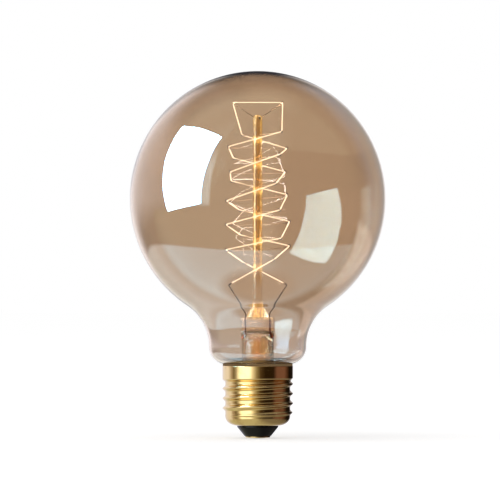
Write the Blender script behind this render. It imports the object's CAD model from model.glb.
from functools import partial

import bmesh
import bpy
import numpy as np
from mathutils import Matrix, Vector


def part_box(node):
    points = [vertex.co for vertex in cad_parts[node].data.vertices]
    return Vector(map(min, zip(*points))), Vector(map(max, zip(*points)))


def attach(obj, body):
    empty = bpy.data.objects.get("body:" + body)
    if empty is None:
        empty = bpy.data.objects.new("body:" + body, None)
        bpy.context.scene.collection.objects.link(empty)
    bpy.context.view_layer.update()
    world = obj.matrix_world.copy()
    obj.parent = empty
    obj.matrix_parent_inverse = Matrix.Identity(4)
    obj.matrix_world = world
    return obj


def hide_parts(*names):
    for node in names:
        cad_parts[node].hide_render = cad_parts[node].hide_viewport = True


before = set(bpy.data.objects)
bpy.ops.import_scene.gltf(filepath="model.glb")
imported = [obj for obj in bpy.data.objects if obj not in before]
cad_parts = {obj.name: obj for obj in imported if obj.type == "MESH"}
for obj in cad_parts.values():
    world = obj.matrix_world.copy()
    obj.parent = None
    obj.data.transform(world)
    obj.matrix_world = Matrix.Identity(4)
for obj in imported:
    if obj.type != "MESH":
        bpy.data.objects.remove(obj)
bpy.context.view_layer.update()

bl_info = {
    "name": "Globe filament lamp",
    "version": (1, 0, 0),
    "blender": (4, 5, 0),
    "location": "3D View > Sidebar > Lamp",
    "description": "Dresses the packed lamp in blown glass, a coiled filament, brass and black glass",
    "category": "Add Mesh",
}

MM = 0.001
BODY = "root"
MERGE = 1e-7

# Columns of points round the axis
GLOBE_COLUMNS = 224
STEM_COLUMNS = 96
ROD_COLUMNS = 48
CEMENT_COLUMNS = 180
SHELL_COLUMNS = 240
INSULATOR_COLUMNS = 120
DISC_COLUMNS = 96
BUTTON_COLUMNS = 72
DROP_COLUMNS = 48


def length(name, description, size):
    """A length property, given in millimetres and kept in metres."""
    return bpy.props.FloatProperty(
        name=name, description=description, default=size * MM, min=0, precision=5,
        subtype="DISTANCE", unit="LENGTH",
    )


def tint(name, description, code):
    """A colour property from an sRGB hex value."""
    return bpy.props.FloatVectorProperty(
        name=name, description=description, default=linear(code), min=0, max=1, size=3, subtype="COLOR"
    )


def linear(code):
    """Linear red, green and blue of an sRGB hex value such as "c9a84f"."""
    srgb = np.array([int(code[i:i + 2], 16) for i in (0, 2, 4)]) / 255
    return tuple(np.where(srgb <= 0.04045, srgb / 12.92, ((srgb + 0.055) / 1.055) ** 2.4).tolist())


# Settings


class GlassSettings(bpy.types.PropertyGroup):
    """Sizes and colours of the globe and of the stem inside it"""

    globe_d: length("Globe", "Diameter of the globe", 95)
    wall: length("Glass wall", "Thickness of the blown glass", 0.8)
    neck_d: length("Neck", "Diameter of the narrowest part of the neck", 36.2)
    neck_curve_r: length("Neck curve", "Radius of the hollow curve into the neck", 18.3)
    shoulder_r: length("Shoulder", "Radius of the round shoulder over the cap", 6.6)
    seal_d: length("Tube", "Diameter of the glass tube in the cap", 21.6)
    rim_gap: length("Rim gap", "Gap between the cap's rim and the shoulder", 0.6)
    flare_wall: length("Stem wall", "Thickness of the flare tube's glass", 1)
    flare_d: length("Flare tube", "Diameter of the flare tube", 12)
    press_w: length("Press width", "Width of the flat press", 12.6)
    press_t: length("Press thickness", "Thickness of the flat press", 4.5)
    pinch_h: length("Pinch", "Height of the flat part of the press", 5.2)
    exhaust_wall: length("Exhaust wall", "Thickness of the exhaust tube's wall", 0.8)
    rod_d: length("Rod", "Diameter of the glass rod", 3.5)
    rod_foot_h: length("Rod foot", "Height of the rod's widened foot", 4.5)
    bead: length("Beads", "Rise of the glass round each hook's root", 0.16)
    amber: tint("Amber", "Colour of light that has passed one wall of the globe", "d3bea8")
    clear: tint("Clear glass", "Colour of the stem's lead glass", "f9ecd6")


class WireSettings(bpy.types.PropertyGroup):
    """Sizes and colours of the filament, its hooks and its leads"""

    filament_d: length("Filament", "Outer diameter of the coiled filament", 0.5)
    strand_d: length("Strand", "Diameter of the fine wire that the filament is coiled from", 0.13)
    coil_pitch: length("Coil pitch", "Distance between two turns of the coil", 0.3)
    level_step: length("Level", "Drop from one level of hooks to the next", 4.75)
    reach: length("Reach", "Reach of the hooks from the axis", 11.4)
    top_reach: length("Top reach", "Reach of the two top hooks", 9.3)
    top_run: length("Top run", "Height of the top run above the globe's centre", 35.9)
    top_drop: length("Top drop", "Drop from the top run to the first level", 11.5)
    lead_drop: length("Lead drop", "Drop from the last level to the leads", 8.2)
    lead_reach: length("Lead reach", "Reach of the leads where they grip the filament", 9.6)
    filament_round: length("Corner", "Distance from a corner where the filament starts to bend", 1)
    hook_d: length("Hook wire", "Diameter of the hook wire", 0.3)
    hook_gap: length("Hook gap", "Gap between the filament and the hook round it", 0.18)
    hook_seat: length("Hook seat", "Length of each hook that is melted into the rod", 0.9)
    top_root: length("Top root", "Depth of the top hooks' roots under the rod's top", 1.2)
    lead_d: length("Lead", "Diameter of the inner leads", 0.5)
    lead_foot: length("Lead foot", "Length of a lead that stands straight on the press", 1.6)
    lead_grip: length("Lead grip", "Length of a lead that is bent along the filament", 1.7)
    lead_gap: length("Lead gap", "Distance between the two sealed wires", 8.8)
    glow: tint("Glow", "Colour of the glowing filament", "ffe9cc")
    glow_strength: bpy.props.FloatProperty(
        name="Glow strength", description="Brightness of the glowing filament", default=2.0, min=0
    )


class CapSettings(bpy.types.PropertyGroup):
    """Sizes and colours of the screw cap and its contact"""

    thread_d: length("Thread", "Diameter over the crests of the rolled thread", 26.3)
    thread_depth: length("Thread depth", "Depth of the rolled thread", 1.05)
    thread_pitch: length("Pitch", "Pitch of the thread", 3.629)
    thread_z: length("Thread foot", "Height where the thread starts", 8.2)
    crest_rise: length("First crest", "Height of a crest above the thread's foot, on the +X side", 1.2)
    thread_in: length("Run in", "Height over which the thread rises", 1.6)
    thread_out: length("Run out", "Height over which the thread fades into the skirt", 1.2)
    skirt_h: length("Skirt", "Height of the smooth skirt", 4.6)
    sheet: length("Sheet", "Thickness of the brass sheet", 0.3)
    lip_d: length("Lip", "Diameter of the hole at the bottom of the shell", 15.5)
    lip_z: length("Lip height", "Height of the shell's lip", 4.7)
    foot_d: length("Insulator foot", "Diameter of the insulator's foot", 10)
    foot_z: length("Foot height", "Height of the insulator's foot", 0.8)
    lead_hole_d: length("Lead hole", "Diameter of the hole for the centre lead", 1.6)
    dish_wall: length("Dish wall", "Width of the insulator's wall round its dish", 2)
    dish_depth: length("Dish depth", "Depth of the dish on top of the insulator", 1)
    brass: tint("Brass", "Colour of the brass sheet", "ecd29a")
    black: tint("Black glass", "Colour of the insulator", "0c0c0d")


class StageSettings(bpy.types.PropertyGroup):
    """Camera and light"""

    camera_x: length("Camera side", "How far the camera stands to the left of the axis", 2.86)
    camera_y: length("Camera distance", "Distance of the camera from the axis", 2000)
    camera_z: length("Camera height", "Height of the camera", 70)
    lens: bpy.props.FloatProperty(
        name="Lens", description="Focal length of the camera in millimetres", default=387.2, min=1
    )
    card_strength: bpy.props.FloatProperty(
        name="Softbox", description="Brightness of the softbox in the glass", default=190, min=0
    )


class LampSettings(bpy.types.PropertyGroup):
    """All settings of the lamp"""

    glass: bpy.props.PointerProperty(type=GlassSettings)
    wires: bpy.props.PointerProperty(type=WireSettings)
    cap: bpy.props.PointerProperty(type=CapSettings)
    stage: bpy.props.PointerProperty(type=StageSettings)


# Surfaces


def arc(x, y, r, start, end, steps):
    """Points (x + r cos a, y + r sin a), where a runs from start to end in degrees."""
    a = np.radians(np.linspace(start, end, steps + 1))
    return np.stack([x + r * np.cos(a), y + r * np.sin(a)], axis=1)


def chain(*pieces):
    """One outline of (radius, height) points from several stretches, each point kept once."""
    points = np.concatenate([np.atleast_2d(p) for p in pieces])
    step = np.linalg.norm(np.diff(points, axis=0), axis=1)
    return points[np.concatenate([[True], step > MERGE])]


def turned(outline, columns):
    """Outline carried round the axis: the point (r, z) at angle a is (r cos a, r sin a, z)."""
    a = np.linspace(0, 2 * np.pi, columns, endpoint=False)
    r, z = outline[:, :1], outline[:, 1:]
    return np.stack([r * np.cos(a), r * np.sin(a), z + 0 * a], axis=2)


def unit(v):
    """Vectors along the last axis, brought to length 1."""
    return v / np.linalg.norm(v, axis=-1, keepdims=True)


def headings(path):
    """Direction of a path at each point: the mean of the directions before and after it."""
    step = unit(np.diff(path, axis=0))
    return unit(np.concatenate([step[:1], step[:-1] + step[1:], step[-1:]]))


def swept(path, radius, side, sides, squash=1.0):
    """Rings round a path: point + radius (cos a u + squash sin a v), where u is square to the path
    and to `side`, and v is square to both. The radius may differ from ring to ring."""
    t = headings(path)
    u = unit(np.cross(t, side))
    v = np.cross(u, t)
    a = np.linspace(0, 2 * np.pi, sides, endpoint=False)[None, :, None]
    radius = np.broadcast_to(radius, len(path))[:, None, None]
    squash = np.broadcast_to(squash, len(path))[:, None, None]
    return path[:, None] + radius * (np.cos(a) * u[:, None] + squash * np.sin(a) * v[:, None])


def wire(path, radius, side, sides=12, squash=1.0, domes=(1, 1)):
    """Round wire along a path. Each end closes on a dome inside the path's length, at the points
    end + r (1 - cos q) h t + sin q ring, where h is its height as a share of the radius."""
    rings = swept(path, radius, side, sides, squash)
    t = headings(path)
    radius = np.broadcast_to(radius, len(path))
    q = np.radians(np.linspace(0, 90, 5))[:, None, None]
    start, end = (
        path[i] + radius[i] * (1 - np.cos(q)) * h * way + np.sin(q) * (rings[i] - path[i])
        for i, h, way in ((0, domes[0], t[0]), (-1, domes[1], -t[-1]))
    )
    return np.concatenate([start, rings[1:-1], end[::-1]])


def along(path, step):
    """The same path with points at equal distances of about `step`."""
    at = np.append(0, np.cumsum(np.linalg.norm(np.diff(path, axis=0), axis=1)))
    wanted = np.linspace(0, at[-1], max(2, round(at[-1] / step) + 1))
    return np.stack([np.interp(wanted, at, path[:, i]) for i in range(3)], axis=1)


def rounded(corners, start, steps):
    """Path whose corners become quadratic curves (1-t)^2 a + 2t(1-t) p + t^2 b, which start and end
    at the distance `start` from the corner p."""
    p = corners[1:-1, None]
    a = p + start * unit(corners[:-2, None] - p)
    b = p + start * unit(corners[2:, None] - p)
    t = np.linspace(0, 1, steps + 1)[None, :, None]
    curves = (1 - t) ** 2 * a + 2 * t * (1 - t) * p + t ** 2 * b
    return np.concatenate([corners[:1], curves.reshape(-1, 3), corners[-1:]])


def quads(rows, columns, loop=False):
    """Faces of a grid of points whose columns close on themselves, and its rows too if it is a loop."""
    i = np.arange(rows if loop else rows - 1)[:, None]
    k = np.arange(columns)[None, :]
    below, next_k = (i + 1) % rows, (k + 1) % columns
    corners = [i * columns + k, below * columns + k, below * columns + next_k, i * columns + next_k]
    return np.stack(corners, axis=-1).reshape(-1, 4)


def piece(name, grids, material, slot, *nodes, loop=False, crease=40):
    """Mesh object of grids of points. Points that coincide, as at a pole, are merged, and edges
    sharper than `crease` degrees stay sharp. It rides with the lamp and stands for the nodes."""
    faces, points, count = [], [], 0
    for grid in grids:
        faces.append(quads(grid.shape[0], grid.shape[1], loop) + count)
        points.append(grid.reshape(-1, 3))
        count += len(points[-1])
    mesh = bpy.data.meshes.new(name)
    mesh.from_pydata(np.concatenate(points), [], np.concatenate(faces))
    merged = bmesh.new()
    merged.from_mesh(mesh)
    bmesh.ops.remove_doubles(merged, verts=merged.verts, dist=MERGE)
    merged.to_mesh(mesh)
    merged.free()
    mesh.shade_smooth()
    mesh.set_sharp_from_angle(angle=np.radians(crease))
    mesh.materials.append(material)
    made = bpy.data.objects.new(name, mesh)
    bpy.context.scene.collection.objects.link(made)
    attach(made, BODY)
    if nodes:
        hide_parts(*nodes)
    return made


# The frame's heights


def bottom(node):
    """Height of a node's lowest point."""
    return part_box(node)[0][2]


def top(node):
    """Height of a node's highest point."""
    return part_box(node)[1][2]


def globe_centre(s):
    """Height of the globe's centre, from the top of its node."""
    return top("globe") - s.glass.globe_d / 2


def neck_height(s):
    """Height of the neck's narrowest place, where the shoulder's arc starts."""
    return top("cap_shell") + s.glass.rim_gap + s.glass.shoulder_r


# Glass

PRESS_EDGE = 0.7 * MM
PRESS_EASE = 2 * MM
PRESS_SQUARENESS = 1.4
PRESS_RINGS = 40
BORE_CROWN = 2.6 * MM
MELTED = 0.4 * MM
SEAM = 0.03 * MM
ROD_RINGS = 300
ROD_DOME = 0.9
BEAD_WIDTH = 0.55 * MM
FOOT_SPREAD = 0.85
FOOT_FADE = 4.4 * MM


def glass_line(s, inset):
    """Outline of the globe from its top to the edge in the cap, moved in by `inset`: the globe's arc,
    the neck's hollow arc that touches it, the shoulder, a small curve and the straight tube."""
    g, centre, neck = s.glass, globe_centre(s), neck_height(s)
    globe_r, neck_r, seal_r = g.globe_d / 2, g.neck_d / 2, g.seal_d / 2
    turn = np.degrees(np.arctan2(centre - neck, neck_r + g.neck_curve_r))
    shoulder_x = neck_r - g.shoulder_r
    foot = shoulder_x - seal_r
    return chain(
        arc(0, centre, globe_r - inset, 90, -turn, 110),
        arc(neck_r + g.neck_curve_r, neck, g.neck_curve_r + inset, 180 - turn, 180, 24),
        arc(shoulder_x, neck, g.shoulder_r - inset, 0, -90, 20),
        arc(shoulder_x, neck - g.shoulder_r - foot, foot + inset, 90, 180, 10),
        [[seal_r - inset, bottom("globe")]],
    )


def globe(s):
    """The globe's outline turned about the axis, outside and inside, with its poles closed."""
    outline = chain(glass_line(s, 0), glass_line(s, s.glass.wall)[::-1])
    outline[[0, -1], 0] = 0
    return turned(outline, GLOBE_COLUMNS)


def exhaust_tube(s):
    """Tube whose lower end is a half ball, outside and inside. Its top is melted into the press."""
    tip_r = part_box("exhaust_tube")[1][0]
    middle = bottom("exhaust_tube") + tip_r
    high = top("exhaust_tube") + BORE_CROWN + MELTED
    outline = chain(
        [[tip_r - s.glass.exhaust_wall, high], [tip_r, high]],
        arc(0, middle, tip_r, 0, -90, 16),
    )
    inside = arc(0, middle, tip_r - s.glass.exhaust_wall, -90, 0, 16)
    outline[-1, 0] = inside[0, 0] = 0
    return turned(np.concatenate([outline, inside]), ROD_COLUMNS)


def smooth(x):
    """0 up to x = 0, 1 from x = 1, and 3x^2 - 2x^3 between."""
    x = np.clip(x, 0, 1)
    return x * x * (3 - 2 * x)


def stem(s):
    """Stem's glass in one skin. Outside it starts at the top of the flat press, whose rings are
    rounded ovals |x/w|^n + |y/t|^n = 1 that go over into the tube's circle, and ends on the flare's
    quarter circle. Inside it goes back up the bore, which is closed by half an ellipse."""
    g = s.glass
    low, high = bottom("stem_press"), top("stem_press")
    flat_z = high - g.pinch_h
    q = np.radians(np.linspace(0, 90, 9))
    z = np.concatenate([
        [high], high - PRESS_EDGE * (1 - np.sin(q[::-1])), np.linspace(flat_z + PRESS_EASE, low, PRESS_RINGS),
    ])
    inset = np.concatenate([[1], PRESS_EDGE * (1 - np.cos(q[::-1])), np.zeros(PRESS_RINGS)])[:, None]
    m = smooth((z - low) / (flat_z - low))[:, None]
    w = np.maximum(g.flare_d / 2 + m * (g.press_w - g.flare_d) / 2 - inset, 0)
    t = np.maximum(g.flare_d / 2 + m * (g.press_t - g.flare_d) / 2 - inset, 0)
    power = 2 / (2 + PRESS_SQUARENESS * m)
    a = np.linspace(0, 2 * np.pi, STEM_COLUMNS, endpoint=False)[None, :]
    x = w * np.sign(np.cos(a)) * np.abs(np.cos(a)) ** power
    y = t * np.sign(np.sin(a)) * np.abs(np.sin(a)) ** power
    pressed = np.stack([x, y, z[:, None] + 0 * x], axis=2)

    tube_r, bore_r = g.flare_d / 2, g.seal_d / 2 - g.wall
    flare_r = bore_r - tube_r
    curve_z = bottom("stem_flare") + g.flare_wall + flare_r
    inner_r = tube_r - g.flare_wall
    crown = np.radians(np.linspace(0, 90, 13))
    flared = turned(chain(
        arc(bore_r, curve_z, flare_r, 180, 270, 24),
        arc(bore_r, curve_z, flare_r + g.flare_wall, 270, 180, 24),
        np.stack([inner_r * np.cos(crown), low + BORE_CROWN * np.sin(crown)], axis=1)[:-1],
        [[0, low + BORE_CROWN]],
    ), STEM_COLUMNS)
    return np.concatenate([pressed, flared])


def rod(s):
    """Rod with a widened foot and a round top. The glass rises round each hook's root by
    bead e^(-(d/w)^2), where d is the distance from the root over the rod's surface. Along the press
    the foot spreads out, as x (1 + a e^(-(h/f)^4)) at the height h."""
    g = s.glass
    low, high = bottom("glass_rod") - MELTED, top("glass_rod")
    rod_r, foot_r = g.rod_d / 2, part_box("glass_rod")[1][0]
    dome = rod_r * ROD_DOME
    z = np.linspace(low, high - dome, ROD_RINGS)
    r = rod_r + (foot_r - rod_r) * (1 - smooth((z - low) / g.rod_foot_h))
    cap = arc(rod_r - dome, high - dome, dome, 90, 0, 12)
    outline = chain([[0, high]], cap, np.stack([r, z], axis=1)[::-1], [[0, low]])
    points = turned(outline, ROD_COLUMNS)
    roots = np.array([hook_root(s, i, root_z) for i, root_z in hook_places(s)])
    away = points[:, :, None] - roots
    rise = g.bead * np.exp(-(away ** 2).sum(axis=3) / BEAD_WIDTH ** 2).sum(axis=2)
    points[..., :2] += rise[..., None] * points[..., :2] / rod_r
    points[..., 0] *= 1 + FOOT_SPREAD * np.exp(-((points[..., 2] - low) / FOOT_FADE) ** 4)
    return points


def rim_cement(s):
    """Cement squeezed out between the cap's rim and the glass, turned about the axis: it follows the
    underside of the shoulder and the small curve into the tube, and stands on the cement below."""
    g, c, rim, neck = s.glass, s.cap, top("cap_shell"), neck_height(s)
    shoulder_x, outer = g.neck_d / 2 - g.shoulder_r, c.thread_d / 2 - c.sheet / 2
    foot = shoulder_x - g.seal_d / 2
    under_r = g.shoulder_r + SEAM
    start = np.degrees(np.arccos((outer - shoulder_x) / under_r))
    low = top("basing_cement")
    outline = chain(
        arc(shoulder_x, neck, under_r, -start, -90, 10),
        arc(shoulder_x, neck - g.shoulder_r - foot, foot - SEAM, 90, 180, 8),
        [[g.seal_d / 2 + SEAM, low], [outer - c.sheet, low], [outer - c.sheet, rim], [outer, rim + SEAM]],
    )
    return turned(outline[::-1], CEMENT_COLUMNS)


# Filament, hooks and leads

LEVELS = 11
TURN_POINTS = 10
HOOK_SIDES = 10
LEAD_SIDES = 16
LEAD_STEP = 0.3 * MM
LEAD_BEND = 0.7 * MM
PINCH_RISE = 2.5
PINCH_WIDER = 0.25
PINCH_THINNER = 0.45

# Degrees between the hooks of two levels, and degrees that a hook curls round the filament
LEVEL_TURN = 48
HOOK_CURL = 240

# How each hook was bent by hand, level by level: turn in degrees, extra reach and lift in tenths
# of a millimetre. The first list is for the hook nearer the front or the right.
TENTH = 0.1 * MM
BENT = np.array([
    [[9, 1, 4], [6, -4, -9], [5, 0, 16], [10, -9, -1], [-6, 0, 2], [6, -3, 9],
     [4, 0, -1], [2, 5, 5], [7, 1, -10], [-2, 5, 9], [-10, 0, 6]],
    [[-11, 0, -4], [-5, -4, -2], [11, 0, 4], [8, -10, -2], [17, 1, 13], [3, 3, -14],
     [-5, 0, 1], [-3, 5, -7], [-9, 0, 1], [4, 6, -6], [-14, 0, -6]],
])


def first_level(s):
    """Height of the first level of hooks."""
    return globe_centre(s) + s.wires.top_run - s.wires.top_drop


def filament_corners(s):
    """The filament's corners: up from the left lead from level to level, over the top run and down
    to the right lead. On level n a corner lies at the angle that the level and its side give."""
    w = s.wires
    level, side = np.arange(LEVELS), np.arange(2)[:, None]
    a = np.radians(np.where(level % 2 == 0, -LEVEL_TURN, 0) + 180 * side + BENT[..., 0])
    r = w.reach + BENT[..., 1] * TENTH
    z = first_level(s) - level * w.level_step + BENT[..., 2] * TENTH
    corner = np.stack([r * np.cos(a), r * np.sin(a), z], axis=2)
    near, far = (corner[((level + 1) // 2 + strand) % 2, level] for strand in (0, 1))
    top_z = globe_centre(s) + w.top_run
    lead_z = first_level(s) - (LEVELS - 1) * w.level_step - w.lead_drop
    return np.concatenate([
        [[-w.lead_reach, 0, lead_z]], far[::-1], [[-w.top_reach, 0, top_z], [w.top_reach, 0, top_z]],
        near, [[w.lead_reach, 0, lead_z]],
    ])


def holds(s):
    """Middle of the filament's curve at each corner, and its direction there."""
    corners = filament_corners(s)
    before, after = unit(corners[:-2] - corners[1:-1]), unit(corners[2:] - corners[1:-1])
    return corners[1:-1] + s.wires.filament_round * (before + after) / 4, unit(after - before)


def coil(s):
    """Fine wire wound round the filament's path: path + R (cos f u + sin f v), where f grows by a
    full turn each pitch, and u and v are square to the path. It has four sides and closed ends."""
    w = s.wires
    path = along(rounded(filament_corners(s), w.filament_round, 12), w.coil_pitch / TURN_POINTS)
    t = headings(path)
    u = unit(np.cross(t, [0, 0, 1]))
    v = np.cross(u, t)
    f = (2 * np.pi * np.arange(len(path)) / TURN_POINTS)[:, None]
    turns = path + (w.filament_d - w.strand_d) / 2 * (np.cos(f) * u + np.sin(f) * v)
    way = headings(turns)
    out = unit(turns - path)
    over = np.cross(out, way)
    a = np.radians([45, 135, 225, 315])[None, :, None]
    rings = turns[:, None] + w.strand_d / 2 * (np.cos(a) * out[:, None] + np.sin(a) * over[:, None])
    first, last = (rings[[i]].mean(axis=1, keepdims=True) + 0 * rings[[i]] for i in (0, -1))
    return np.concatenate([first, rings, last])


def hook_places(s):
    """Every hook as its place among the filament's corners and the height of its root: the two top
    hooks first, then two for each level."""
    curl_r = (s.wires.filament_d + s.wires.hook_d) / 2 + s.wires.hook_gap
    top_z = top("glass_rod") - s.wires.top_root
    places = [(LEVELS + 1, top_z), (LEVELS + 2, top_z)]
    for level in range(LEVELS):
        z = first_level(s) - level * s.wires.level_step - curl_r
        places += [(LEVELS - level, z), (LEVELS + 3 + level, z)]
    return places


def hook_path(s, place, root_z):
    """Straight from the rod, then round the filament on the circle middle + c (cos q e + sin q f),
    square to the filament, from under it through HOOK_CURL degrees."""
    w = s.wires
    middles, ways = holds(s)
    middle, way = middles[place - 1], ways[place - 1]
    curl_r = (w.filament_d + w.hook_d) / 2 + w.hook_gap
    root = unit(middle * [1, 1, 0]) * (s.glass.rod_d / 2 - w.hook_seat) + [0, 0, root_z]
    across = middle - root - ((middle - root) @ way) * way
    e, f = unit(across), np.cross(way, unit(across))
    f = f if f[2] > 0 else -f
    start = -90 - np.degrees(np.arcsin(curl_r / np.linalg.norm(across)))
    q = np.radians(np.linspace(start, start + HOOK_CURL, 25))[:, None]
    curl = middle + curl_r * (np.cos(q) * e + np.sin(q) * f)
    straight = root + np.linspace(0, 1, 8)[:-1, None] * (curl[0] - root)
    return np.concatenate([straight, curl])


def hook_root(s, place, root_z):
    """Point where a hook comes out of the rod."""
    path = hook_path(s, place, root_z)
    way = unit(path[1] - path[0])
    return path[0] + way * s.wires.hook_seat / np.linalg.norm(way[:2])


def hooks(s, chosen):
    """Every hook of the chosen pairs as a wire with round ends. Pair 0 is the two top hooks, and the
    others follow level by level."""
    ways = holds(s)[1]
    places = [place for i, place in enumerate(hook_places(s)) if chosen(i // 2)]
    return [wire(hook_path(s, *p), s.wires.hook_d / 2, ways[p[0] - 1], HOOK_SIDES) for p in places]


def inner_lead(s, side):
    """Wire from the press to one end of the filament, on which its last stretch is pinched flat."""
    w = s.wires
    corners = filament_corners(s)
    end, after = (corners[0], corners[1]) if side < 0 else (corners[-1], corners[-2])
    bend = end - w.lead_grip * unit(after - end)
    foot = np.array([side * w.lead_gap / 2, 0, top("stem_press")])
    corners = np.array([foot, foot + [0, 0, w.lead_foot], bend, end])
    path = along(rounded(corners, LEAD_BEND, 8), LEAD_STEP)
    left = np.linalg.norm(path - end, axis=1) / w.lead_grip
    flat = smooth((1 - left) * PINCH_RISE)
    radius, squash = w.lead_d / 2 * (1 + PINCH_WIDER * flat), 1 - PINCH_THINNER * flat
    return wire(path, radius, [0, 1, 0], LEAD_SIDES, squash, (0, 0.4))


# Cap and contact

CLEAR = 0.08 * MM
SHELL_RINGS = 118
LIP_CORNER = 0.35 * MM
FOOT_CORNER = 0.5 * MM
DROP_SUNK = 0.05 * MM


def thread_radius(s, z, a):
    """Outer radius of the shell at a height and angle. The rolled thread is the wave
    ((1 + cos(2 pi z / pitch - a)) / 2)^2, with round crests and flat grooves, and runs out at both
    ends."""
    c, high = s.cap, top("cap_shell") - s.cap.skirt_h
    wave = np.cos(2 * np.pi * (z - c.thread_z - c.crest_rise) / c.thread_pitch - a)
    round_wave = ((1 + wave) / 2) ** 2
    grow = np.clip((z - c.thread_z) / c.thread_in, 0, 1)
    fade = np.clip((high - z) / c.thread_out, 0, 1)
    return c.thread_d / 2 - c.thread_depth * (1 - round_wave * grow) * fade


def foot_line(s, inset, steps=20):
    """Quarter ellipse from the straight wall down to the shell's lip, moved in by `inset`."""
    c = s.cap
    root_r, lip_r = c.thread_d / 2 - c.thread_depth, c.lip_d / 2
    a = np.radians(np.linspace(90, 0, steps + 1))[1:]
    return np.stack([
        lip_r + (root_r - lip_r) * np.sin(a) - inset * np.sin(a),
        c.lip_z + (c.thread_z - c.lip_z) * (1 - np.cos(a)) + inset * np.cos(a),
    ], axis=1)


def shell(s):
    """Brass shell: rings from the rim down the thread and the foot to the lip, then back up inside,
    where the thread shows as well because the sheet is pressed through."""
    c, rim = s.cap, top("cap_shell")
    a = np.linspace(0, 2 * np.pi, SHELL_COLUMNS, endpoint=False)[None, :]
    edge = np.array([0, 0.06, 0.15]) * MM
    z = np.concatenate([rim - edge, np.linspace(rim - 0.5 * MM, c.thread_z, SHELL_RINGS)])[:, None]
    round_edge = np.zeros_like(z)
    round_edge[:2, 0] = [0.1 * MM, 0.03 * MM]
    sheets = []
    for inset in (0, c.sheet):
        r = thread_radius(s, z, a) - inset + round_edge * (-1 if inset == 0 else 1)
        wall = np.stack([r * np.cos(a), r * np.sin(a), z + 0 * a], axis=2)
        sheets.append(np.concatenate([wall, turned(foot_line(s, inset), SHELL_COLUMNS)]))
    return np.concatenate([sheets[0], sheets[1][::-1]])


def insulator(s):
    """Black glass, turned about the axis: a dished top inside the shell, the shell's foot curve, and
    a cone below the lip with its corners rounded off."""
    c = s.cap
    hole_r, foot_r, lip_r = c.lead_hole_d / 2, c.foot_d / 2, c.lip_d / 2 - CLEAR
    high = top("cap_insulator")
    inside_r = c.thread_d / 2 - c.thread_depth - c.sheet - CLEAR
    outline = chain(
        [[hole_r, high - c.dish_depth], [hole_r + c.dish_wall, high - c.dish_depth]],
        [[inside_r - c.dish_wall, high], [inside_r, high]],
        foot_line(s, c.sheet + 2 * CLEAR)[:-1],
        [[lip_r, c.lip_z + c.sheet + CLEAR], [lip_r, c.lip_z - CLEAR]],
        arc(lip_r - LIP_CORNER, c.lip_z - 0.4 * MM, LIP_CORNER, 0, -30, 6),
        arc(foot_r - FOOT_CORNER * 0.6, c.foot_z + FOOT_CORNER, FOOT_CORNER, -30, -90, 8),
        [[hole_r, c.foot_z]],
    )
    return turned(outline, INSULATOR_COLUMNS)


def contact_plate(s):
    """Disc with a hole and a rounded edge: a half circle of half the disc's thickness."""
    low, high = bottom("contact_plate"), top("contact_plate")
    r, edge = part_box("contact_plate")[1][0], (high - low) / 2
    hole_r = s.cap.lead_hole_d / 2
    outline = chain([[hole_r, high]], arc(r - edge, low + edge, edge, 90, -90, 8), [[hole_r, low]])
    return turned(outline, DISC_COLUMNS)


def solder_button():
    """Button under the plate. Its underside rises as H (r/R)^5, and its radius R wanders with the
    angle."""
    r_max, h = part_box("contact_solder")[1][0], top("contact_solder")
    a = np.linspace(0, 2 * np.pi, BUTTON_COLUMNS, endpoint=False)[None, :]
    q = np.linspace(0, 1, 20)[:, None]
    edge = r_max * (0.95 + 0.03 * np.cos(2 * a + 0.6) + 0.02 * np.cos(5 * a))
    under = np.stack([q * edge * np.cos(a), q * edge * np.sin(a), h * q ** 5 + 0 * a], axis=2)
    lid = under[-1:] * [0, 0, 1]
    return np.concatenate([lid, under[::-1]])


def rim_drop(s):
    """Drop of solder over the end of the side lead: a dome on the rim whose outline wanders."""
    low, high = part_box("rim_solder")
    middle = [(low[i] + high[i]) / 2 for i in range(3)]
    half_w, deep = (high[0] - low[0]) / 2, high[1] - low[1]
    wall_r = s.cap.thread_d / 2
    a = np.linspace(0, 2 * np.pi, DROP_COLUMNS, endpoint=False)[None, :]
    q = np.linspace(0, 1, 16)[:, None]
    edge = half_w * (0.93 + 0.05 * np.cos(3 * a) + 0.02 * np.cos(5 * a + 1))
    x, z = q * edge * np.cos(a), middle[2] + q * edge * np.sin(a)
    on_wall = np.sqrt(wall_r ** 2 - x ** 2)
    dome = np.stack([x, on_wall + deep * 0.8 * np.sqrt(np.maximum(1 - q ** 2, 0)), z + 0 * a], axis=2)
    back = np.stack([x, on_wall - DROP_SUNK + 0 * z, z + 0 * a], axis=2)
    return np.concatenate([back, dome[::-1]])


# Materials

# Settings of a Map Range node that eases at both ends, and of a Mix node for colours
SMOOTH = {"interpolation_type": "SMOOTHSTEP"}
COLORS = {"data_type": "RGBA"}

SODA_IOR = 1.52
LEAD_IOR = 1.55

# The streaks of light round the rod, the angle of one of them, and how far they wander
STREAKS = 4
STREAK_ANGLE = np.radians(228)
STREAK_WANDER = 0.5

# Brightness of the filament where glass mirrors it
MIRRORED_GLOW = 60


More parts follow.
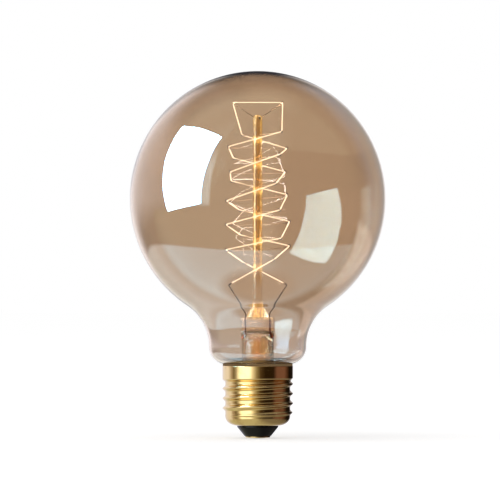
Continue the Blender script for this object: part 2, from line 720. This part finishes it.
def add_node(tree, kind, *inputs, **settings):
    """Adds a node with its settings. Its inputs come by name in one dictionary, or in the order of the
    sockets that show: a value is set, and a socket, or the first one that a node shows, is linked."""
    node = tree.nodes.new("ShaderNode" + kind)
    for name, value in settings.items():
        setattr(node, name, value)
    if inputs and isinstance(inputs[0], dict):
        pairs = [(node.inputs[name], value) for name, value in inputs[0].items()]
    else:
        pairs = zip([socket for socket in node.inputs if socket.enabled], inputs)
    for socket, value in pairs:
        if isinstance(value, bpy.types.Node):
            value = next(output for output in value.outputs if output.enabled)
        if isinstance(value, bpy.types.NodeSocket):
            tree.links.new(value, socket)
        elif socket.type == "RGBA":
            socket.default_value = (*value[:3], 1)
        else:
            socket.default_value = value
    return node


def material(name):
    """An empty material, and `add_node` for its node tree."""
    made = bpy.data.materials.new(name)
    made.use_nodes = True
    made.node_tree.nodes.clear()
    return made, partial(add_node, made.node_tree)


def coordinates(add):
    """Object coordinates, in metres from the lamp's foot, and then each of their three parts."""
    place = add("TexCoord").outputs["Object"]
    return place, *add("SeparateXYZ", place).outputs


def from_axis(add, place):
    """Distance from the lamp's axis."""
    flat = add("VectorMath", place, (1, 1, 0), operation="MULTIPLY")
    return add("VectorMath", flat, operation="LENGTH")


def grain(add, place, size, detail=3, rough=0.5, stretch=(1, 1, 1)):
    """Pattern whose grains are about `size` metres wide. They are drawn out along an axis where the
    stretch is under 1."""
    scaled = add("VectorMath", place, [part / size for part in stretch], operation="MULTIPLY")
    return add("TexNoise", scaled, 1, detail, rough)


def faded(add, share, *edges):
    """A share that fades over each edge (value, low, high): nothing is left of it where the value is
    low, and all of it where the value is high."""
    for value, low, high in edges:
        share = add("MapRange", value, low, high, 0, share, **SMOOTH)
    return share


def layered(add, base, *zones):
    """Colour `base` with zones laid over it in turn: each has a colour, its share and its edges."""
    for color, share, *edges in zones:
        base = add("Mix", faded(add, share, *edges), base, color, **COLORS)
    return base


def mirrored(add):
    """1 for a ray that some surface has mirrored, and otherwise 0."""
    return add("Math", add("LightPath").outputs["Glossy Depth"], 0.5, operation="GREATER_THAN")


def amber_soda_glass(s):
    """Blown soda-lime glass with an amber coat, thinner at the neck: clear, sharp reflections."""
    made, add = material("amber_soda_glass")
    place, _, _, z = coordinates(add)
    neck = neck_height(s)
    coat = (z, neck - 3 * MM, neck + 22 * MM)
    add("OutputMaterial", add("BsdfPrincipled", {
        "Base Color": layered(add, linear("d8c9bd"), (s.glass.amber, 1, coat)),
        "Roughness": 0.0, "IOR": SODA_IOR, "Transmission Weight": 1.0,
        "Normal": add("Bump", {"Height": grain(add, place, 34 * MM, 1), "Distance": 0.12 * MM}),
    }))
    return made


def lead_glass(s):
    """Pressed lead glass, bright and a little wavy from the pinch. Inside the tube it glows amber in
    fine upright streaks, its top edge takes on light from the rod's foot, and two dark arches and
    dark sides show where the bore ends."""
    made, add = material("lead_glass")
    place, x, _, z = coordinates(add)
    aside = add("Math", x, operation="ABSOLUTE")
    low, high = bottom("stem_press"), top("stem_press")
    streaks = grain(add, place, 1.3 * MM, 3, 0.6, (1, 1, 0.3))
    fine = grain(add, place, 0.7 * MM, 2, 0.5, (1, 0.4, 0.06))
    amber = faded(
        add, add("MapRange", fine, 0.42, 0.6, 0.25, 1, **SMOOTH),
        (aside, 3.4 * MM, 1.8 * MM), (z, low - 12 * MM, low - 4 * MM), (z, low + 1.5 * MM, low),
    )
    edge = faded(
        add, add("MapRange", streaks, 0.4, 0.65, 0.1, 0.6, **SMOOTH), (z, high - 1.6 * MM, high),
    )

    arch_z, arch_w, arch_h = low + 1.8 * MM, 4.7 * MM, 2.8 * MM
    oval = add("Mapping", {
        "Vector": place, "Location": (0, 0, -arch_z / arch_h), "Scale": (1 / arch_w, 0, 1 / arch_h),
    })
    wobble = add("MapRange", streaks, 0.3, 0.7, -0.06, 0.06, **SMOOTH)
    reach = add("Math", add("VectorMath", oval, operation="LENGTH"), wobble, operation="ADD")
    above = faded(add, 0.75, (z, arch_z - 0.1 * arch_h, arch_z + 0.1 * arch_h))
    dark = faded(add, 0.3, (aside, 5 * MM, 5.7 * MM), (z, low + 3 * MM, low))
    for size, clear, full in ((1, 0.11, 0.03), (0.7, 0.1, 0.02)):
        off = add("Math", add("Math", reach, size, operation="SUBTRACT"), operation="ABSOLUTE")
        dark = add("Math", dark, faded(add, above, (off, clear, full)), operation="MAXIMUM")

    add("OutputMaterial", add("BsdfPrincipled", {
        "Base Color": layered(
            add, s.glass.clear,
            (linear("f2d9bb"), 1, (z, low - 3 * MM, low + 4 * MM)),
            (linear("d8a860"), amber),
            (linear("8a5444"), dark),
        ),
        "Roughness": 0.0, "IOR": LEAD_IOR, "Transmission Weight": 1.0,
        "Emission Color": layered(add, linear("ffe2a4"), (linear("b8901c"), amber)),
        "Emission Strength": add("Math", amber, 0.2, edge, operation="MULTIPLY_ADD"),
        "Normal": add("Bump", {"Height": streaks, "Distance": 0.3 * MM}),
    }))
    return made


def lit_glass_rod(s):
    """Lead glass rod, drawn by hand. It carries the filament's light in streaks, pale yellow on the
    left and browner on the right with deep amber between them, brighter on every second level, where
    the wire crosses. Its widened foot glows in fine upright streaks."""
    made, add = material("lit_glass_rod")
    place, x, y, z = coordinates(add)
    low, high, step = bottom("glass_rod"), top("glass_rod"), s.wires.level_step
    beside_filament = (z, low + 9 * MM, low + 20 * MM)
    wander = grain(add, place, 1.2 * MM, 3, 0.6, (1, 1, 0.12))
    angle = add("Math", y, x, operation="ARCTAN2")
    shift = add("MapRange", wander, 0, 1, -STREAK_WANDER, STREAK_WANDER)
    angle = add("Math", angle, shift, operation="ADD")
    turns = add("Math", angle, STREAKS, -STREAKS * STREAK_ANGLE, operation="MULTIPLY_ADD")
    lit = faded(add, 1, (add("Math", turns, operation="COSINE"), -0.1, 0.95))
    for value, *bounds in (
        (grain(add, place, 1.1 * MM, 4, 0.65, (1, 1, 0.4)), 0.3, 0.7, 0.35, 1),
        (grain(add, place, 0.5 * MM, 2, 0.6, (1, 1, 0.7)), 0.4, 0.5, 0.4, 1),
        (x, -0.5 * MM, 0.7 * MM, 1, 0.62),
    ):
        lit = add("Math", lit, add("MapRange", value, *bounds, **SMOOTH), operation="MULTIPLY")
    phase = add("Math", z, np.pi / step, np.pi * (0.5 - first_level(s) / step), operation="MULTIPLY_ADD")
    crossing = add("MapRange", add("Math", phase, operation="COSINE"), 0.3, 1, 0, 0.35, **SMOOTH)
    bright = add("Math", lit, crossing, operation="ADD")
    level = faded(add, add("Math", bright, 1.3, 0.2, operation="MULTIPLY_ADD"), beside_filament)

    foot = faded(add, 1, (z, low + 6 * MM, low + 3 * MM), (z, low - 0.2 * MM, low))
    fine = grain(add, place, 0.5 * MM, 2, 0.5, (1, 1, 0.05))
    root = add("MapRange", fine, 0.42, 0.62, 0.235, 1, **SMOOTH)
    root = add("Math", foot, root, operation="MULTIPLY")
    middle = (add("Math", x, operation="ABSOLUTE"), 2.6 * MM, 1.2 * MM)
    root_color = layered(add, linear("fff0c0"), (linear("dca84c"), 1, middle))
    rod_color = layered(add, linear("a07c10"), (linear("fff0a8"), bright))
    glass = layered(add, s.glass.clear, (linear("cc9c34"), 1, beside_filament))
    hook_root = (0.9 * MM, -s.glass.rod_d / 2, high - s.wires.top_root)
    unshaded = (add("VectorMath", place, hook_root, operation="DISTANCE"), 0.45 * MM, 0.75 * MM)
    add("OutputMaterial", add("BsdfPrincipled", {
        "Base Color": layered(add, linear("20100a"), (glass, 1, unshaded)),
        "Roughness": 0.0, "IOR": LEAD_IOR, "Transmission Weight": 1.0,
        "Emission Color": layered(add, rod_color, (root_color, foot)),
        "Emission Strength": faded(add, add("Math", level, root, operation="MAXIMUM"), unshaded),
        "Normal": add("Bump", {"Height": wander, "Distance": 0.12 * MM}),
    }))
    return made


def glowing_tungsten(s):
    """Coiled tungsten at a bright yellow heat: it gives its own light. Where the globe's walls mirror
    it, it is whiter and far brighter, so that its faint images there show."""
    made, add = material("glowing_tungsten")
    place = coordinates(add)[0]
    heat = add("MapRange", grain(add, place, 9 * MM, 2), 0.3, 0.7, 0.9, 1.1, **SMOOTH)
    glow = add("MapRange", mirrored(add), 0, 1, s.wires.glow_strength, MIRRORED_GLOW)
    add("OutputMaterial", add("BsdfPrincipled", {
        "Base Color": linear("5c5048"), "Metallic": 1.0, "Roughness": 0.5,
        "Emission Color": layered(add, s.wires.glow, (linear("d8e8ff"), mirrored(add))),
        "Emission Strength": add("Math", heat, glow, operation="MULTIPLY"),
    }))
    return made


def molybdenum(s):
    """Drawn molybdenum wire, darkened by the heat towards the filament."""
    made, add = material("molybdenum")
    place = coordinates(add)[0]
    hot = (from_axis(add, place), 0.7 * s.wires.reach, 0.95 * s.wires.reach)
    add("OutputMaterial", add("BsdfPrincipled", {
        "Base Color": layered(add, linear("b08c6c"), (linear("20160e"), 1, hot)), "Metallic": 1.0,
        "Roughness": add("MapRange", grain(add, place, 0.4 * MM), 0.3, 0.7, 0.35, 0.55, **SMOOTH),
        "Normal": add("Bump", {"Height": grain(add, place, 0.1 * MM), "Distance": 0.01 * MM}),
    }))
    return made


def nickel():
    """Drawn nickel wire, browned by the heat of the press: satin, with fine marks along it."""
    made, add = material("nickel")
    lines = grain(add, coordinates(add)[0], 0.15 * MM, 3, 0.6, (1, 1, 0.15))
    add("OutputMaterial", add("BsdfPrincipled", {
        "Base Color": layered(add, linear("7c5c46"), (linear("9c7a5e"), lines)),
        "Metallic": 0.45, "Specular IOR Level": 0.15,
        "Roughness": add("MapRange", lines, 0.3, 0.7, 0.45, 0.6, **SMOOTH),
        "Normal": add("Bump", {"Height": lines, "Distance": 0.012 * MM}),
    }))
    return made


def copper(name, fresh, dull):
    """Drawn copper wire: reddish, duller where it was handled."""
    made, add = material(name)
    place = coordinates(add)[0]
    spots = faded(add, 1, (grain(add, place, 1.2 * MM, 4, 0.6), 0.35, 0.65))
    add("OutputMaterial", add("BsdfPrincipled", {
        "Base Color": layered(add, linear(fresh), (linear(dull), spots)), "Metallic": 1.0,
        "Roughness": add("MapRange", spots, 0, 1, 0.25, 0.5, **SMOOTH),
        "Normal": add("Bump", {"Height": grain(add, place, 0.2 * MM), "Distance": 0.01 * MM}),
    }))
    return made


def basing_cement(s):
    """Baked marble-dust cement: matt, off-white and grainy, with small pores. Where it was squeezed
    out at the cap's rim its edge is scorched brown."""
    made, add = material("basing_cement")
    place = coordinates(add)[0]
    grit = grain(add, place, 0.3 * MM, 6, 0.7)
    edge = s.cap.thread_d / 2 - s.cap.sheet
    scorched = layered(add, linear("4a3520"), (linear("a08050"), grit))
    add("OutputMaterial", add("BsdfPrincipled", {
        "Base Color": layered(
            add, linear("b9ab94"),
            (linear("ddd4c4"), 1, (grit, 0.3, 0.7)),
            (scorched, 1, (from_axis(add, place), edge - 0.5 * MM, edge - 0.1 * MM)),
        ),
        "Roughness": 0.9,
        "Normal": add("Bump", {"Height": grit, "Distance": 0.08 * MM}),
    }))
    return made


def rolled_brass(s):
    """Brass sheet, pressed and rolled: bright and yellow on the crests, duller in the grooves, with
    fine marks round the cap from the rolling and a few dull spots from handling."""
    made, add = material("rolled_brass")
    place = coordinates(add)[0]
    crest_r = s.cap.thread_d / 2
    crest = (from_axis(add, place), crest_r - s.cap.thread_depth, crest_r - 0.15 * MM)
    marks = grain(add, place, 0.25 * MM, 3, 0.6, (0.05, 0.05, 1))
    spots = (grain(add, place, 5 * MM, 5, 0.65), 0.48, 0.7)
    polish = add("MapRange", marks, 0.3, 0.7, 0.08, 0.15, **SMOOTH)
    add("OutputMaterial", add("BsdfPrincipled", {
        "Base Color": layered(
            add, linear("e6cc90"), (s.cap.brass, 1, crest), (linear("a97c45"), 0.3, spots),
        ),
        "Metallic": 1.0,
        "Roughness": add("Math", polish, faded(add, 0.08, spots), operation="ADD"),
        "Normal": add("Bump", {"Height": marks, "Distance": 0.006 * MM}),
    }))
    return made


def black_vitrite(s):
    """Pressed black glass: near black and glossy, with soft waves from the mould."""
    made, add = material("black_vitrite")
    place = coordinates(add)[0]
    add("OutputMaterial", add("BsdfPrincipled", {
        "Base Color": s.cap.black, "IOR": SODA_IOR, "Specular IOR Level": 0.2,
        "Roughness": add("MapRange", grain(add, place, 2 * MM, 4), 0.3, 0.7, 0.06, 0.16, **SMOOTH),
        "Normal": add("Bump", {"Height": grain(add, place, 3 * MM, 2), "Distance": 0.12 * MM}),
    }))
    return made


def tin_solder():
    """Tin solder that set quickly: grey, half bright, with a slightly grainy skin."""
    made, add = material("tin_solder")
    skin = grain(add, coordinates(add)[0], 0.5 * MM, 4, 0.6)
    add("OutputMaterial", add("BsdfPrincipled", {
        "Base Color": layered(add, linear("8d8d90"), (linear("b4b4b6"), skin)), "Metallic": 1.0,
        "Roughness": add("MapRange", skin, 0.3, 0.7, 0.25, 0.5, **SMOOTH),
        "Normal": add("Bump", {"Height": skin, "Distance": 0.05 * MM}),
    }))
    return made


# Stage

FLOOR_HALF = 4.0
FLOOR_GLOW = 0.55
PLAIN_LIGHT = (0.55, 0.55, 0.55)
CARD_DISTANCE = 0.38
TOP_LAMP_SIZE = 1.2
TOP_LAMP_POWER = 3.0
TOP_LAMP_PLACE = (-0.5, -0.4, 1.3)
TOP_LAMP_TURN = (0.3, -0.35, 0)

# Where the globe shows the softbox's corners, as shares of its radius across and up
CARD_CORNERS = [(-0.582, 0.552), (-0.28, 0.466), (-0.436, -0.042), (-0.69, -0.105)]

# What brass mirrors round the lamp: each colour and its place in the turn, which starts and ends
# behind the lamp, with the left at 0.25, the camera's side at 0.5 and the right at 0.75
AROUND_BRASS = [
    (0.19, "bab8c4"), (0.235, "8a7e74"), (0.265, "554a38"), (0.295, "8a8478"), (0.325, "f6f4ee"),
    (0.34, "ffffff"), (0.425, "ffffff"), (0.455, "b8b2a4"), (0.49, "716851"), (0.525, "3a2c1c"),
    (0.57, "1e1409"), (0.65, "1e1409"), (0.685, "583e38"), (0.77, "5a403a"), (0.82, "301f16"),
    (0.85, "100b08"), (0.93, "140f0c"),
]
BEHIND_LAMP = "b4b4c4"
BOARD_STRENGTH = 2.0


def stage_mesh(name, grid, shader):
    """Stage object of one grid of points, with its shader."""
    rows, columns = grid.shape[:2]
    i, k = np.arange(rows - 1)[:, None], np.arange(columns - 1)[None, :]
    a = i * columns + k
    faces = np.stack([a, a + 1, a + columns + 1, a + columns], -1).reshape(-1, 4)
    mesh = bpy.data.meshes.new(name)
    mesh.from_pydata(grid.reshape(-1, 3), [], faces)
    mesh.materials.append(shader)
    made = bpy.data.objects.new(name, mesh)
    bpy.context.scene.collection.objects.link(made)
    return made


def camera_place(s):
    """Where the camera stands."""
    return np.array([-s.stage.camera_x, -s.stage.camera_y, s.stage.camera_z])


def card_in_the_globe(s):
    """Flat card with straight sides, whose corners the globe's front mirrors at CARD_CORNERS. There,
    with outward normal n, the camera's ray d leaves along d - 2 (d n) n, and the card's corner lies
    on it at CARD_DISTANCE."""
    across, up = np.array(CARD_CORNERS).T
    n = np.stack([across, -np.sqrt(1 - across ** 2 - up ** 2), up], axis=1)
    spot = np.array([0, 0, globe_centre(s)]) + n * s.glass.globe_d / 2
    d = unit(spot - camera_place(s))
    at = spot + CARD_DISTANCE * (d - 2 * (d * n).sum(axis=1, keepdims=True) * n)
    return at[[0, 1, 3, 2]].reshape(2, 2, 3)


def softbox_light(s):
    """Emission that shows only where clear glass mirrors it: `Is Singular Ray` is 1 for glass and 0
    for metal, and where the glass is only looked through nothing is mirrored."""
    made, add = material("softbox_light")
    in_glass = add("Math", add("LightPath").outputs["Is Singular Ray"], mirrored(add), operation="MULTIPLY")
    light = add("Emission", linear("88c4ff"), s.stage.card_strength)
    add("OutputMaterial", add("MixShader", in_glass, add("BsdfTransparent"), light))
    made.cycles.emission_sampling = "NONE"
    return made


def pale_floor():
    """Pale floor that reads white to the camera and keeps a soft shadow."""
    made, add = material("pale_floor")
    light = add("Emission", {"Strength": FLOOR_GLOW})
    add("OutputMaterial", add("AddShader", add("BsdfDiffuse", linear("e8e8e8")), light))
    return made


def seen_in_glass(add, x, y, z):
    """What clear glass mirrors, by direction: x to the right, y away from the camera and z up, each
    from -1 to 1. The studio is dark to the right and behind. It has a bright wall to the left, a
    grey wall behind, a pale floor and a warm corner low on the right."""
    aside = add("Math", x, operation="ABSOLUTE")
    leftwards = add("Math", x, y, operation="SUBTRACT")
    wall_foot = add("Math", z, add("MapRange", y, 0.3, 0.55, 0, 0.6, **SMOOTH), operation="ADD")
    wall_top = add("MapRange", z, 0.72, 0.4, 0.15, 1, **SMOOTH)
    floor_line = add("Math", y, -0.33, z, operation="MULTIPLY_ADD")
    corner_line = add("Math", z, 0.5, y, operation="MULTIPLY_ADD")
    left_wall = layered(
        add, (1.3, 1.25, 1.3),
        ((2.8, 3.6, 3.8), 1, (y, -0.1, -0.4)),  # towards the camera
        ((0.35, 0.31, 0.29), 1, (z, 0.04, -0.24), (y, 0.97, 0.72)),  # low down
    )
    back_wall = layered(add, (0.5, 0.49, 0.48), ((1.0, 0.96, 0.98), 1, (y, 0.93, 0.985)))
    far_floor = layered(add, (1.6, 1.7, 1.7), ((0.12, 0.12, 0.12), 1, (x, 0.0, 0.2)))
    floor = layered(
        add, (2.3, 3.1, 3.5),
        ((0.8, 1.1, 1.25), 1, (x, -0.1, 0.35)),  # to the right
        ((0.8, 0.76, 0.72), 1, (z, -0.88, -0.98)),  # straight down
        (far_floor, 1, (y, 0.25, 0.45)),
        ((1.1, 1.1, 1.05), 1, (y, 0.6, 0.85)),  # farthest back
    )
    right_corner = layered(
        add, (1.15, 0.95, 0.78),
        ((0.7, 0.66, 0.64), 1, (y, 0.45, 0.8)),  # towards the back
        ((1.05, 0.95, 0.88), 1, (x, 0.42, 0.56)),  # farthest right
    )
    right, back, pale_right = (0.12, 0.11, 0.1), (0.05, 0.05, 0.06), (0.3, 0.4, 0.56)
    return layered(
        add, (0.95, 0.95, 0.75),
        (right, 1, (x, 0.1, 0.5)),
        (back, 1, (y, 0.1, 0.6)),
        (pale_right, 1, (x, 0.12, 0.3), (y, 0.3, 0.7), (z, 0.78, 0.55)),
        (back_wall, 1, (aside, 0.04, 0.12), (y, 0.5, 0.75), (z, 0.5, 0.25)),
        (left_wall, wall_top, (leftwards, 0.06, -0.02), (x, -0.14, -0.32), (wall_foot, -0.13, -0.08)),
        (floor, 1, (floor_line, -0.5, -0.535)),
        (right_corner, 1, (corner_line, 0.12, 0.24), (z, -0.16, -0.25), (x, 0.1, 0.3)),
    )


def seen_in_metal(add, x, y, z):
    """What brass mirrors, by direction: white behind the lamp on the left, a big white board to the
    left of the camera, and a dark room with a brown side to the right. Above and below it is dull."""
    turn = add("Math", x, add("Math", y, -1, operation="MULTIPLY"), operation="ARCTAN2")
    around = add("ValToRGB", add("MapRange", turn, -np.pi, np.pi))
    stops = around.color_ramp.elements
    stops[0].color = stops[1].color = (*linear(BEHIND_LAMP), 1)
    for at, code in AROUND_BRASS:
        stops.new(at).color = (*linear(code), 1)
    bright = add("VectorMath", around, BOARD_STRENGTH, operation="SCALE")
    ground = layered(add, (0.62, 0.6, 0.46), ((0.24, 0.21, 0.18), 1, (x, -0.2, 0.5)))
    return layered(add, bright, (ground, 1, (z, -0.25, -0.6)), ((0.3, 0.28, 0.26), 1, (z, 0.45, 0.8)))


def studio_world():
    """White for the camera and through glass, a plain level on matt surfaces, and in reflections
    the studio round the lamp: `Is Singular Ray` tells clear glass from metal."""
    world = bpy.data.worlds.new("studio")
    bpy.context.scene.world = world
    world.use_nodes = True
    world.node_tree.nodes.clear()
    add = partial(add_node, world.node_tree)
    way = add("SeparateXYZ", add("TexCoord").outputs["Generated"]).outputs
    path = add("LightPath").outputs
    room = layered(add, seen_in_metal(add, *way), (seen_in_glass(add, *way), path["Is Singular Ray"]))
    not_matt = add("Math", 1, path["Is Diffuse Ray"], operation="SUBTRACT")
    reflected = add("Math", mirrored(add), not_matt, operation="MULTIPLY")
    plain = layered(add, (1, 1, 1), (PLAIN_LIGHT, path["Is Diffuse Ray"]))
    add("OutputWorld", add("Background", layered(add, plain, (room, reflected))))
    world.cycles.sampling_method = "NONE"


# Operators


class LAMP_OT_globe(bpy.types.Operator):
    """Make the blown amber globe"""
    bl_idname = "lamp.globe"
    bl_label = "Globe"

    def execute(self, context):
        s = context.scene.lamp
        piece("blown_globe", [globe(s)], amber_soda_glass(s), "amber_glass", "globe")
        return {"FINISHED"}


class LAMP_OT_stem(bpy.types.Operator):
    """Make the flared tube with its press, the exhaust tube and the rod"""
    bl_idname = "lamp.stem"
    bl_label = "Stem"

    def execute(self, context):
        s = context.scene.lamp
        clear = lead_glass(s)
        piece("pressed_stem", [stem(s)], clear, "clear_glass", "stem_flare", "stem_press")
        piece("sealed_exhaust", [exhaust_tube(s)], clear, "clear_glass", "exhaust_tube", loop=True)
        piece("beaded_rod", [rod(s)], lit_glass_rod(s), "clear_glass", "glass_rod")
        return {"FINISHED"}


class LAMP_OT_filament(bpy.types.Operator):
    """Wind the filament along its path"""
    bl_idname = "lamp.filament"
    bl_label = "Filament"

    def execute(self, context):
        s = context.scene.lamp
        piece("coiled_filament", [coil(s)], glowing_tungsten(s), "filament_wire", "filament", crease=120)
        return {"FINISHED"}


class LAMP_OT_hooks(bpy.types.Operator):
    """Bend the hooks that hold the filament"""
    bl_idname = "lamp.hooks"
    bl_label = "Hooks"

    def execute(self, context):
        s = context.scene.lamp
        wire_finish = molybdenum(s)
        for name, node, chosen in (
            ("top_hook_wires", "top_hooks", lambda pair: pair == 0),
            ("diagonal_hook_wires", "diagonal_hooks", lambda pair: pair % 2 == 1),
            ("side_hook_wires", "side_hooks", lambda pair: pair > 0 and pair % 2 == 0),
        ):
            piece(name, hooks(s, chosen), wire_finish, "hook_wire", node, crease=60)
        return {"FINISHED"}


class LAMP_OT_leads(bpy.types.Operator):
    """Make the two inner leads"""
    bl_idname = "lamp.leads"
    bl_label = "Inner leads"

    def execute(self, context):
        s = context.scene.lamp
        finish = nickel()
        piece("left_pinched_lead", [inner_lead(s, -1)], finish, "nickel_wire", "left_inner_lead")
        piece("right_pinched_lead", [inner_lead(s, 1)], finish, "nickel_wire", "right_inner_lead")
        return {"FINISHED"}


class LAMP_OT_cap(bpy.types.Operator):
    """Make the brass shell, the insulator, the contact and the solder"""
    bl_idname = "lamp.cap"
    bl_label = "Cap"

    def execute(self, context):
        s = context.scene.lamp
        brass, black, solder = rolled_brass(s), black_vitrite(s), tin_solder()
        piece("threaded_shell", [shell(s)], brass, "brass_sheet", "cap_shell", loop=True)
        piece("pressed_insulator", [insulator(s)], black, "black_glass", "cap_insulator", loop=True)
        piece("contact_disc", [contact_plate(s)], brass, "brass_sheet", "contact_plate", loop=True)
        piece("solder_button", [solder_button()], solder, "solder", "contact_solder")
        piece("rim_solder_drop", [rim_drop(s)], solder, "solder", "rim_solder", loop=True)
        return {"FINISHED"}


class LAMP_OT_hidden_wires(bpy.types.Operator):
    """Finish the pieces that keep the frame's shapes, the cement and the wires in the cap, and make
    the cement at the rim"""
    bl_idname = "lamp.hidden_wires"
    bl_label = "Cement and outer leads"

    def execute(self, context):
        s = context.scene.lamp
        sealed = copper("borated_copper", "b5543a", "8a3a2a")
        lead = copper("copper_wire", "c07a4a", "8f5433")
        cement = basing_cement(s)
        piece("cement_at_the_rim", [rim_cement(s)], cement, "cement", loop=True)
        finishes = {
            "basing_cement": cement, "fuse_wire": nickel(),
            "left_seal_wire": sealed, "right_seal_wire": sealed,
            "side_outer_lead": lead, "centre_outer_lead": lead,
        }
        for node, finish in finishes.items():
            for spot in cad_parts[node].material_slots:
                spot.material = finish
        return {"FINISHED"}


class LAMP_OT_stage(bpy.types.Operator):
    """Set up the camera, the floor, the softbox and the world"""
    bl_idname = "lamp.stage"
    bl_label = "Stage"

    def execute(self, context):
        s = context.scene.lamp
        camera = bpy.data.cameras.new("camera")
        camera.lens, camera.clip_start, camera.clip_end = s.stage.lens, 0.01, 20
        stand = bpy.data.objects.new("camera", camera)
        stand.location = camera_place(s)
        stand.rotation_euler = (np.pi / 2, 0, 0)
        context.scene.collection.objects.link(stand)
        context.scene.camera = stand

        ground = np.array([[[-1, -1, 0], [1, -1, 0]], [[-1, 1, 0], [1, 1, 0]]]) * FLOOR_HALF
        floor = stage_mesh("floor", ground, pale_floor())
        floor.visible_glossy = floor.visible_transmission = False

        softbox = stage_mesh("softbox", card_in_the_globe(s), softbox_light(s))
        softbox.visible_camera = softbox.visible_diffuse = softbox.visible_shadow = False

        lamp = bpy.data.lights.new("soft_top", "AREA")
        lamp.size, lamp.energy = TOP_LAMP_SIZE, TOP_LAMP_POWER
        above = bpy.data.objects.new("soft_top", lamp)
        above.location = TOP_LAMP_PLACE
        above.rotation_euler = TOP_LAMP_TURN
        above.visible_glossy = above.visible_transmission = above.visible_camera = False
        context.scene.collection.objects.link(above)

        studio_world()
        context.scene.view_settings.view_transform = "Standard"
        return {"FINISHED"}


STEPS = (
    LAMP_OT_stage, LAMP_OT_globe, LAMP_OT_stem, LAMP_OT_filament, LAMP_OT_hooks, LAMP_OT_leads,
    LAMP_OT_cap, LAMP_OT_hidden_wires,
)


class LAMP_PT_panel(bpy.types.Panel):
    """Lists the lamp's steps and settings"""
    bl_idname = "LAMP_PT_panel"
    bl_label = "Globe filament lamp"
    bl_space_type = "VIEW_3D"
    bl_region_type = "UI"
    bl_category = "Lamp"

    def draw(self, context):
        for step in STEPS:
            self.layout.operator(step.bl_idname)
        s = context.scene.lamp
        for group in (s.glass, s.wires, s.cap, s.stage):
            box = self.layout.box()
            for name in group.__annotations__:
                box.prop(group, name)


CLASSES = (
    GlassSettings, WireSettings, CapSettings, StageSettings, LampSettings, *STEPS, LAMP_PT_panel,
)


def register():
    """Registers the classes and the scene's settings."""
    for kind in CLASSES:
        bpy.utils.register_class(kind)
    bpy.types.Scene.lamp = bpy.props.PointerProperty(type=LampSettings)


def unregister():
    """Takes back what register did."""
    del bpy.types.Scene.lamp
    for kind in reversed(CLASSES):
        bpy.utils.unregister_class(kind)


def main():
    """Makes the lamp and its stage."""
    register()
    for step in STEPS:
        group, name = step.bl_idname.split(".")
        getattr(getattr(bpy.ops, group), name)()


if __name__ == "__main__":
    main()
